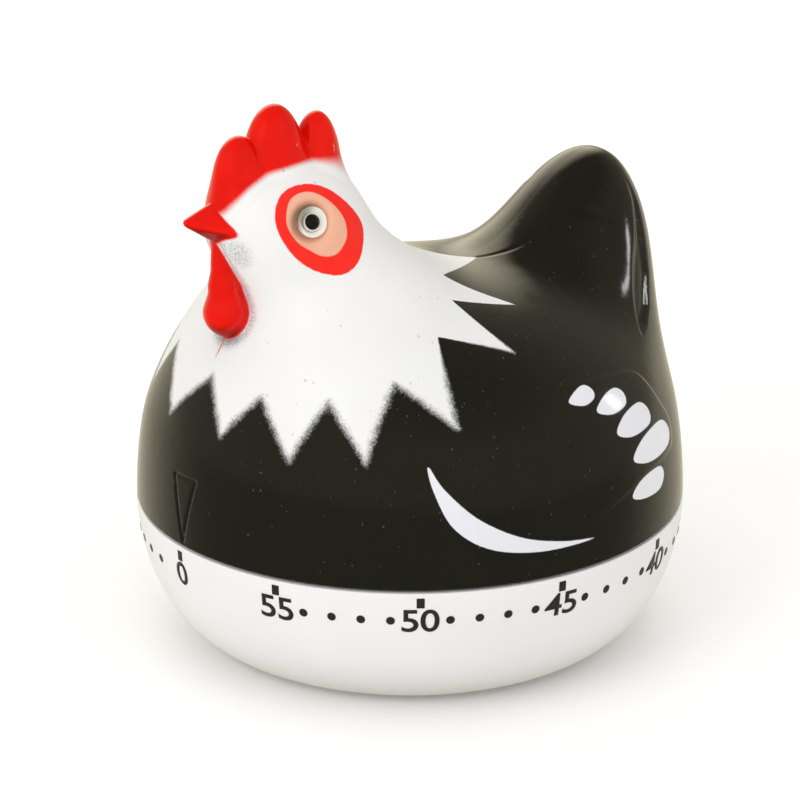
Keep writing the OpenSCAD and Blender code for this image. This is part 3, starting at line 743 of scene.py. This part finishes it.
def skin_of(field, low, high, step):
    """The zero level of a field as a closed quad mesh: one point in each grid cell that the level crosses."""
    axes = [np.arange(a, b + step, step) for a, b in zip(low, high)]
    grid = np.stack(np.meshgrid(*axes, indexing="ij"), -1)
    value = field(grid)
    value[[0, -1]] = value[:, [0, -1]] = value[:, :, [0, -1]] = 1.0
    inside = value < 0
    corners = [inside[i:inside.shape[0] - 1 + i, j:inside.shape[1] - 1 + j, k:inside.shape[2] - 1 + k]
               for i in (0, 1) for j in (0, 1) for k in (0, 1)]
    count = sum(c.astype(int) for c in corners)
    crossed = (count > 0) & (count < 8)
    number = -np.ones(crossed.shape, int)
    number[crossed] = np.arange(crossed.sum())
    points = grid[:-1, :-1, :-1][crossed] + step / 2
    quads = []
    for axis in range(3):
        u, v = (axis + 1) % 3, (axis + 2) % 3
        first = np.take(inside, range(inside.shape[axis] - 1), axis)
        second = np.take(inside, range(1, inside.shape[axis]), axis)
        for i, j, k in np.argwhere(first != second):
            here = [i, j, k]
            cells = []
            for du, dv in ((-1, -1), (0, -1), (0, 0), (-1, 0)):
                cell = list(here)
                cell[u] += du
                cell[v] += dv
                cells.append(number[tuple(cell)])
            quads.append(cells if first[i, j, k] else cells[::-1])
    for _ in range(12):                        # slide the points onto the level
        near = field(points)
        slope = np.stack([(field(points + e) - near) / 1e-3 for e in np.eye(3) * 1e-3], -1)
        size = np.maximum((slope ** 2).sum(1), 0.2)
        move = -(near / size)[:, None] * slope
        points = points + np.clip(move, -step / 2, step / 2)
    return points, quads


SINK = 0.04                                    # how far a feature's free border lies below the skin
SKIRT = 1.6                                    # how far a fillet may reach from the feature's own form
COMB_STEP, STEP, QUICK_STEP = 0.28, 0.22, 1.6


def feature(name, field, low, high, k, material, step):
    """A moulded feature that grows out of the head's skin with a fillet of size k."""
    def joined(p):
        skin = form(p) + SINK
        return np.maximum(soft_min(field(p), skin, k), field(p) - SKIRT)
    points, quads = skin_of(joined, low, high, step * (1.0))
    piece = mesh_object(name, points, quads)
    recalc_outward(piece.data)
    paint(piece.data, points)
    return finish_piece(piece, "hen", "shell_paint", material)


# ---- eyes ----
def lathe_faces(count, steps, closed=True):
    """Quads between the rings of a turned shape; ring r's points start at r * steps."""
    faces = []
    for r in range(count if closed else count - 1):
        for s in range(steps):
            a, b, t = r * steps, ((r + 1) % count) * steps, (s + 1) % steps
            faces.append((a + s, a + t, b + t, b + s))
    return faces


def turned_shape(profile, steps, axes=None, origin=(0, 0, 0), cap=True):
    """Points and faces of a profile [(radius, height)] turned about an axis."""
    right, up, axis = axes or (np.array([1.0, 0, 0]), np.array([0, 1.0, 0]), np.array([0, 0, 1.0]))
    angles = np.arange(steps) * 2 * math.pi / steps
    circle = np.cos(angles)[:, None] * right + np.sin(angles)[:, None] * up
    rings = [np.array(origin) + h * axis + r * circle for r, h in profile]
    faces = lathe_faces(len(profile), steps, closed=not cap)
    if cap:
        faces.append(tuple(range(steps))[::-1])
        faces.append(tuple((len(profile) - 1) * steps + s for s in range(steps)))
    return np.concatenate(rings), faces


def arc(centre, radius, start, end, steps):
    """Points of an arc in a profile, angles in degrees."""
    angles = np.radians(np.linspace(start, end, steps))
    return [(centre[0] + radius * math.cos(a), centre[1] + radius * math.sin(a)) for a in angles]


def eye(side, name, bead, gloss):
    axis, right, up = eye_axes()
    face = -0.80                                 # height of the bead's edge, the skin's being 0
    rim = [(EYE_R, -3.2), (EYE_R, face - 0.25)] + arc((EYE_R - 0.22, face - 0.22), 0.22, 0, 120, 7)
    cup = [(1.6, face - 0.12), (1.34, face - 0.5), (1.25, face - 0.53), (1.2, face - 0.5),
           (1.13, face - 0.22), (1.06, face - 0.17), (0.98, face - 0.22), (0.96, face - 0.6)]
    profile = rim + cup
    at = EYE_AT + EYE_ASIDE * right + EYE_RAISED * up
    dome = [(0.93, face - 0.55), (0.93, face - 0.16)] + arc((0.0, face - 1.05), 1.29, 43, 88, 9)
    for part, shape, slot, material, nodes in (("bead", profile, "eye_pearl", bead, ("eye_" + name,)),
                                               ("pupil", dome, "pupil_black", gloss, ("pupil_" + name,))):
        points, faces = turned_shape(shape, 64, (right, up, axis), at)
        points[:, 0] *= side
        piece = mesh_object(f"{part}_{name}_lens", points, faces, 40)
        recalc_outward(piece.data)
        finish_piece(piece, "hen", slot, material, *nodes)


# ---- bowl and its printed dial ----
EAR_BEARINGS = (30, 150, 270)
EAR_R = 27.2
EAR_TOP = corner_mm("lower_plate", False)[2]
SCREW_HOLE_R = 1.0
COVER_BEARINGS = (0, 120, 240)
COVER_SCREW_R = 20.0
EAR_POST_R, COVER_POST_R = 2.6, 1.7
BOWL_FLOOR = 1.8                                 # thickness round the cover's recess
OPENING_R = 18.0


def bowl_r(z):
    low = 1 - np.clip(z / BOWL_H, 0, 1)
    return FOOT_R + (SEAM_R - FOOT_R) * (1 - low ** BOWL_POWER) ** (1 / BOWL_POWER)


def tube(outer, inner, low, high, at, steps=40):
    """A boss with a hole in it, standing at a place in the bowl."""
    profile = [(outer, low), (outer, high - 0.25), (outer - 0.25, high),
               (inner + 0.2, high), (inner, high - 0.2), (inner, low)]
    return turned_shape(profile, steps, origin=(*at, 0), cap=False)


def bowl(material):
    floor_z = COVER_T + BOWL_FLOOR
    outside = [(bowl_r(z), z) for z in BOWL_H * (np.linspace(0, 1, 60) ** 1.6)][1:-1]
    foot = arc((FOOT_R - 0.35, 0.35), 0.35, -90, -20, 5)
    rim = [(SEAM_R - 0.02, BOWL_H - 0.45), (SEAM_R - 0.1, BOWL_H - 0.12), (SEAM_R - 0.4, BOWL_H),
           (SEAM_R - BOWL_WALL + 0.2, BOWL_H), (SEAM_R - BOWL_WALL, BOWL_H - 0.2)]
    lining = [(bowl_r(z) - BOWL_WALL, z) for z in np.linspace(BOWL_H * 0.97, floor_z, 40)]
    recess = [(OPENING_R, floor_z), (OPENING_R, COVER_T), (COVER_R + 0.1, COVER_T),
              (COVER_R + 0.1, 0.3), (COVER_R + 0.35, 0.0)]
    profile = foot + [q for q in outside if 0.5 < q[1] < BOWL_H - 0.5] + rim + lining + recess
    points, faces = turned_shape(profile, 256, cap=False)
    posts = ((EAR_BEARINGS, EAR_R, EAR_POST_R, 2.8, EAR_TOP),
             (COVER_BEARINGS, COVER_SCREW_R, COVER_POST_R, floor_z - 0.5, COVER_T + 4))
    for angles, radius, outer, low, high in posts:
        for angle in np.radians(angles):
            at = (radius * math.cos(angle), radius * math.sin(angle))
            more, quads = tube(outer, SCREW_HOLE_R, low, high, at)
            faces += [tuple(i + len(points) for i in q) for q in quads]
            points = np.concatenate([points, more])
    piece = mesh_object("bowl", points, faces, 45)
    recalc_outward(piece.data)
    return finish_piece(piece, "base", "bowl_white", material, "base_bowl")


INK_PROUD = 0.03                                 # how far the print stands over the bowl
BAR_Z, BAR_W, BAR_H = 17.05, 1.0, 1.35
DOT_Z, DOT_R = 14.6, 0.56
DIGIT_MID_Z, DIGIT_H, DIGIT_WIDE = 14.6, 3.2, 1.16
ZERO_ASIDE = 3.3                                 # the 0 and its bar stand this many degrees toward the 55
MINUTES = range(0, 60, 5)
DEG_PER_MINUTE = -6.0


def on_bowl(bearing, flat):
    """Bends flat points (across, up, out) in millimetres onto the bowl at a bearing in degrees."""
    z = flat[:, 1]
    r = bowl_r(z) + INK_PROUD + flat[:, 2]
    b = np.radians(bearing) + flat[:, 0] / SEAM_R
    return np.stack([r * np.sin(b), -r * np.cos(b), z], -1)


def ink_object(name, shapes, material):
    """Joins thin printed shapes, given as (points, faces), into one piece."""
    points, faces, total = [], [], 0
    for p, f in shapes:
        points.append(p)
        faces += [tuple(i + total for i in q) for q in f]
        total += len(p)
    piece = mesh_object(name, np.concatenate(points), faces)
    recalc_outward(piece.data)
    return finish_piece(piece, "base", "bowl_white", material)


def slab(outline, thick=0.02, rings=3):
    """A thin patch with rounded edges: the outline shrunk in a few rings, its middle filled."""
    outline = np.array(outline, float)
    middle = outline.mean(0)
    points = [np.c_[outline, np.full(len(outline), -0.02)]]
    shares = [1.0, 0.93] + [0.93 * (1 - k / rings) for k in range(1, rings)]
    for share in shares:
        ring = middle + (outline - middle) * share
        points.append(np.c_[ring, np.full(len(ring), thick if share < 1 else 0.0)])
    count, steps = len(points), len(outline)
    faces = lathe_faces(count, steps, closed=False)
    faces.append(tuple((count - 1) * steps + s for s in range(steps)))
    faces.append(tuple(range(steps))[::-1])
    return np.concatenate(points), faces


def round_box(width, height, mid_z, corner=0.12, steps=5):
    made = []
    for quarter in range(4):
        sx, sy = ((1, 1), (-1, 1), (-1, -1), (1, -1))[quarter]
        centre = (sx * (width / 2 - corner), mid_z + sy * (height / 2 - corner))
        made += arc(centre, corner, quarter * 90, quarter * 90 + 90, steps)
    return made


def numeral_shape(text):
    """Triangles of a generic printed number, its height DIGIT_H and its middle at 0, in millimetres."""
    data = bpy.data.curves.new("numeral", "FONT")
    data.body = text
    data.align_x = "CENTER"
    data.resolution_u = 6
    data.offset = 0.012
    data.space_character = 0.96
    holder = bpy.data.objects.new("numeral", data)
    bpy.context.scene.collection.objects.link(holder)
    bpy.context.view_layer.update()
    shape = bpy.data.meshes.new_from_object(holder.evaluated_get(bpy.context.evaluated_depsgraph_get()))
    b = bmesh.new()
    b.from_mesh(shape)
    bmesh.ops.triangulate(b, faces=b.faces)
    bmesh.ops.subdivide_edges(b, edges=b.edges, cuts=1, use_grid_fill=True)
    bmesh.ops.triangulate(b, faces=b.faces)
    points = np.array([v.co for v in b.verts])
    faces = [tuple(v.index for v in f.verts) for f in b.faces]
    b.free()
    bpy.data.objects.remove(holder)
    bpy.data.curves.remove(data)
    low, high = points.min(0), points.max(0)
    scale = DIGIT_H / (high[1] - low[1])
    points[:, 0] -= (low[0] + high[0]) / 2
    points[:, 1] -= (low[1] + high[1]) / 2
    return points * [scale * DIGIT_WIDE, scale, 1], faces


def thick_numeral(points, faces):
    """Gives the flat triangles a thin body, so that the print is closed."""
    count = len(points)
    both = np.concatenate([points, points])
    both[:count, 2] = 0.02
    both[count:, 2] = -0.02
    closed = list(faces) + [tuple(i + count for i in f[::-1]) for f in faces]
    edges = {}
    for f in faces:
        for a, b in zip(f, f[1:] + f[:1]):
            edges[(a, b)] = edges.get((a, b), 0) + 1
    for a, b in edges:
        if (b, a) not in edges:
            closed.append((b, a, a + count, b + count))
    return both, closed


def dial(ink):
    """Bars and numbers every five minutes and dots between them, none after the last number."""
    bars, dots, numbers = [], [], []
    for minute in MINUTES:
        bearing = DEG_PER_MINUTE * minute + (ZERO_ASIDE if minute == 0 else 0.0)
        outline, faces = slab(round_box(BAR_W, BAR_H, BAR_Z))
        bars.append((on_bowl(bearing, outline), faces))
        for step in range(1, 5) if minute < MINUTES[-1] else ():
            outline, faces = slab(arc((0, DOT_Z), DOT_R, 0, 345, 24))
            dots.append((on_bowl(DEG_PER_MINUTE * (minute + step), outline), faces))
        flat, faces = thick_numeral(*numeral_shape(str(minute)))
        flat[:, 1] += DIGIT_MID_Z
        numbers.append((on_bowl(bearing, flat), faces))
    ink_object("dial_bars", bars, ink)
    ink_object("dial_dots", dots, ink)
    ink_object("dial_numerals", numbers, ink)


# ---- materials of the plain parts ----
def plastic(name, low, high, rough, depth=0.006, shine=0.5):
    """Moulded plastic: faint flow marks, a fine skin texture and uneven gloss."""
    made, g = new_material(name)
    tone = g.mix(g.noise(0.1, 3.0), low, high)
    skin = g.bump(g.noise(0.9, 2.0), depth)
    gloss = g.plus(rough, g.times(g.noise(0.25, 3.0), 0.06))
    g.surface({"Base Color": tone, "Roughness": gloss, "Normal": skin, "IOR": 1.45,
               "Specular IOR Level": shine})
    return made


def metal(name, low, high, rough, stretch=(1, 1, 12), grain=1.2, depth=0.012):
    """Worked metal: fine tool marks along one way, stains in the colour and in the gloss."""
    made, g = new_material(name)
    tone = g.mix(g.rise(g.noise(0.25, 4.0, 0.6), 0.3, 0.7), low, high)
    marks = g.noise(grain, 4.0, 0.65, stretch)
    gloss = g.plus(rough, g.times(marks, 0.22))
    g.surface({"Base Color": tone, "Metallic": 1.0, "Roughness": gloss, "Normal": g.bump(marks, depth)})
    return made


def bowl_plastic():
    """White moulded plastic, with painted shade that makes it darker and a little yellower toward the foot.
    """
    made, g = new_material("bowl_plastic")
    # painted shade: the colour darkens toward the foot, where less light reaches the bowl
    uneven = g.times(g.noise(0.08, 3.0), 3 * MM)
    low = g.fall(g.plus(g.place()[2], uneven), 0.0, 11 * MM)
    tone = g.mix(g.noise(0.1, 3.0), (0.82, 0.815, 0.80), (0.87, 0.865, 0.855))
    tone = g.mix(g.times(low, 0.8), tone, (0.66, 0.65, 0.60))
    gloss = g.plus(0.34, g.times(g.noise(0.25, 3.0), 0.08))
    skin = g.bump(g.noise(0.9, 2.0), 0.004)
    g.surface({"Base Color": tone, "Roughness": gloss, "Normal": skin, "IOR": 1.45,
               "Specular IOR Level": 0.22})
    return made


def pearl():
    """Pearl white plastic, with painted shade on the side that lies toward the top and the front, where the
    socket's wall shades the bead.
    """
    made, g = new_material("eye_pearl")
    tone = g.mix(g.noise(1.2, 3.0), (0.86, 0.85, 0.77), (0.96, 0.95, 0.90))
    _, along, height = g.place()[:3]
    inward = g.math("SUBTRACT", height, along)
    middle = (EYE_AT[2] - EYE_AT[1]) * MM
    # painted shade: the bead darkens toward the top and the front, as if in the socket's shadow
    shade = g.rise(g.math("SUBTRACT", inward, middle), -0.5 * MM, 2.0 * MM)
    tone = g.mix(g.times(shade, 0.85), tone, (0.22, 0.21, 0.14))
    g.surface({"Base Color": tone, "Roughness": 0.2, "Metallic": 0.12, "IOR": 1.5, "Coat Weight": 0.5,
               "Coat Roughness": 0.04, "Normal": g.bump(g.noise(2.0, 2.0), 0.008)})
    return made


def pupil_gloss():
    made, g = new_material("pupil_gloss")
    tone = g.mix(g.noise(1.0, 2.0), (0.002, 0.002, 0.002), (0.006, 0.006, 0.005))
    g.surface({"Base Color": tone, "Roughness": 0.08, "IOR": 1.4, "Normal": g.bump(g.noise(3.0, 1.0), 0.002)})
    return made


def printing_ink():
    made, g = new_material("printing_ink")
    tone = g.mix(g.noise(1.5, 3.0), (0.012, 0.010, 0.009), (0.030, 0.026, 0.023))
    g.surface({"Base Color": tone, "Roughness": 0.42, "Normal": g.bump(g.noise(4.0, 2.0), 0.006)})
    return made


def carried_materials():
    """One material for each slot of the record, put on the CAD nodes that stay."""
    zinc = metal("zinc_screw", (0.62, 0.62, 0.60), (0.74, 0.74, 0.73), 0.24, (1, 1, 1), 1.5)
    by_slot = {
        "bowl_white": plastic("bowl_plain", (0.78, 0.775, 0.76), (0.83, 0.83, 0.82), 0.3),
        "cover_white": plastic("cover_plastic", (0.72, 0.715, 0.70), (0.78, 0.775, 0.765), 0.45, 0.02),
        "screw_steel": zinc,
        "plate_steel": metal("rolled_steel", (0.52, 0.52, 0.50), (0.66, 0.66, 0.64), 0.26, (1, 14, 1)),
        "arbor_steel": metal("turned_steel", (0.50, 0.50, 0.49), (0.62, 0.62, 0.61), 0.2, (1, 1, 16)),
        "bell_metal": metal("bell_metal", (0.62, 0.45, 0.18), (0.80, 0.62, 0.30), 0.16, (1, 1, 9), 0.8),
        "spring_steel": metal("blued_steel", (0.09, 0.12, 0.20), (0.20, 0.25, 0.36), 0.24, (1, 1, 10)),
        "shell_paint": plastic("shell_plain", (0.02, 0.018, 0.014), (0.03, 0.028, 0.022), 0.2),
        "eye_pearl": pearl(),
        "pupil_black": pupil_gloss(),
        "hub_plastic": plastic("hub_plastic", (0.70, 0.70, 0.68), (0.76, 0.76, 0.74), 0.42, 0.02),
        "wheel_brass": metal("stamped_brass", (0.60, 0.42, 0.14), (0.76, 0.58, 0.26), 0.22, (10, 1, 1), 1.0),
        "lever_steel": metal("hardened_steel", (0.28, 0.28, 0.28), (0.42, 0.42, 0.41), 0.3, (12, 1, 1)),
    }
    slot_of = {s["node"]: s["material_slot"] for s in frame["record"]["subparts"]}
    for name, node in frame["nodes"].items():
        node.data.materials.clear()
        node.data.materials.append(by_slot[slot_of[name]])
    return by_slot


# ---- surroundings ----
FLOOR_GLOW_IN_PAINTED_SHADOW = 0.08                         # the paper's glow under the object, lowered there as a painted contact shadow,
FLOOR_LIGHT, FLOOR_LIGHT_FAR = 0.19, 0.60        # around it and far off


def floor():
    """A pale floor that glows, less close under the object as a painted contact shadow. It isn't mirrored in
    the glossy paint, which shows the room instead.
    """
    half = 3.0
    points = np.array([(-half, -half, 0), (half, -half, 0), (half, half, 0), (-half, half, 0)]) / MM
    piece = mesh_object("floor", points, [(0, 1, 2, 3)])
    piece.location.z = -0.02 * MM
    piece.visible_glossy = False
    made, g = new_material("floor_paper")
    tone = g.mix(g.noise(0.002, 2.0), (0.90, 0.895, 0.88), (0.92, 0.915, 0.905))
    place = g.node("ShaderNodeTexCoord").outputs["Object"]
    far = g.node("ShaderNodeVectorMath", {0: place}, operation="LENGTH").outputs["Value"]
    # painted shadow: the floor glows less close under the object
    light = g.blend(g.rise(far, 0.025, 0.06), FLOOR_GLOW_IN_PAINTED_SHADOW, FLOOR_LIGHT)
    light = g.blend(g.rise(far, 0.1, 0.6), light, FLOOR_LIGHT_FAR)
    shader = g.node("ShaderNodeBsdfPrincipled", {"Base Color": tone, "Roughness": 0.6,
                                                 "Emission Color": (1.0, 0.995, 0.98, 1.0),
                                                 "Emission Strength": light})
    g.node("ShaderNodeOutputMaterial", {"Surface": shader.outputs[0]})
    piece.data.materials.append(made)


AMBIENT = 0.69                                   # the room's evenly spread light
ROOM = 0.42                                      # what the glossy paint mirrors: the room,
ROOM_TOP = 0.22                                  # its ceiling,
TABLE_NEAR, TABLE_FAR = 0.28, 0.85               # the table on the camera's side and beyond the object,
GLOW = 2.3                                       # and a bright backdrop over there
GLOW_AT = (-106.0, 30.0)
ROOM_TINT = (1.0, 0.925, 0.70)


def studio():
    """A soft white room. The glossy parts mirror it darker on the camera's side than behind the object."""
    world = bpy.data.worlds.new("studio")
    bpy.context.scene.world = world
    world.use_nodes = True
    world.node_tree.nodes.clear()
    g = Graph(world.node_tree)
    back = view_axes(CAMERA_AZIMUTH, -4)[2]
    place = g.node("ShaderNodeTexCoord").outputs["Generated"]
    toward = g.along_way(place, back)
    to_glow = g.along_way(place, view_axes(*GLOW_AT)[2])
    height = g.split(place)[2]
    table = g.blend(g.rise(toward, -0.8, 0.0), TABLE_FAR, TABLE_NEAR)
    room = g.blend(g.rise(height, 0.55, 0.95), ROOM, ROOM_TOP)
    room = g.plus(room, g.times(g.rise(to_glow, 0.80, 0.985), GLOW))
    level = g.blend(g.rise(height, -0.06, 0.14), table, room)
    mirrored = g.node("ShaderNodeBackground", {"Color": colour(ROOM_TINT), "Strength": level})
    spread = g.node("ShaderNodeBackground", {"Color": (1, 1, 1, 1), "Strength": AMBIENT})
    seen = g.node("ShaderNodeBackground", {"Color": (1, 1, 1, 1), "Strength": 1.0})
    ray = g.node("ShaderNodeLightPath").outputs
    room = g.node("ShaderNodeMixShader", {0: ray["Is Glossy Ray"], 1: spread.outputs[0],
                                          2: mirrored.outputs[0]})
    both = g.node("ShaderNodeMixShader", {0: ray["Is Camera Ray"], 1: room.outputs[0], 2: seen.outputs[0]})
    g.node("ShaderNodeOutputWorld", {"Surface": both.outputs[0]})
    bpy.context.scene.view_settings.view_transform = "Standard"
    softbox("key", CAMERA_AZIMUTH - 45, 32, 0.75, (0.50, 0.40), 1.5, mirrored=False)
    softbox("fill", CAMERA_AZIMUTH + 45, 35, 0.8, (0.5, 0.4), 0.5, mirrored=False)
    softbox("top", CAMERA_AZIMUTH, 85, 0.8, (0.6, 0.6), 1.0, mirrored=False)
    softbox("strip", CAMERA_AZIMUTH + 98, 20.3, 0.095, (0.0055, 0.010), 0.0021)


def build():
    make_camera()
    studio()
    floor()
    by_slot = carried_materials()
    painted = hen_paint()
    hen_half("skin_left", 1, "hen_shell_left", painted)
    hen_half("skin_right", -1, "hen_shell_right", painted)
    feature("comb", comb_field, (-8, -32, 54), (8, -6, 75), 2.2, painted, COMB_STEP)
    feature("beak", beak_field, (-8, -35, 53), (8, -23, 66), 0.35, painted, STEP)
    feature("wattle", wattle_field, (-6, -33, 41), (6, -22, 58.5), 0.6, painted, STEP)
    eye(1, "left", by_slot["eye_pearl"], by_slot["pupil_black"])
    eye(-1, "right", by_slot["eye_pearl"], by_slot["pupil_black"])
    bowl(bowl_plastic())
    dial(printing_ink())


build()
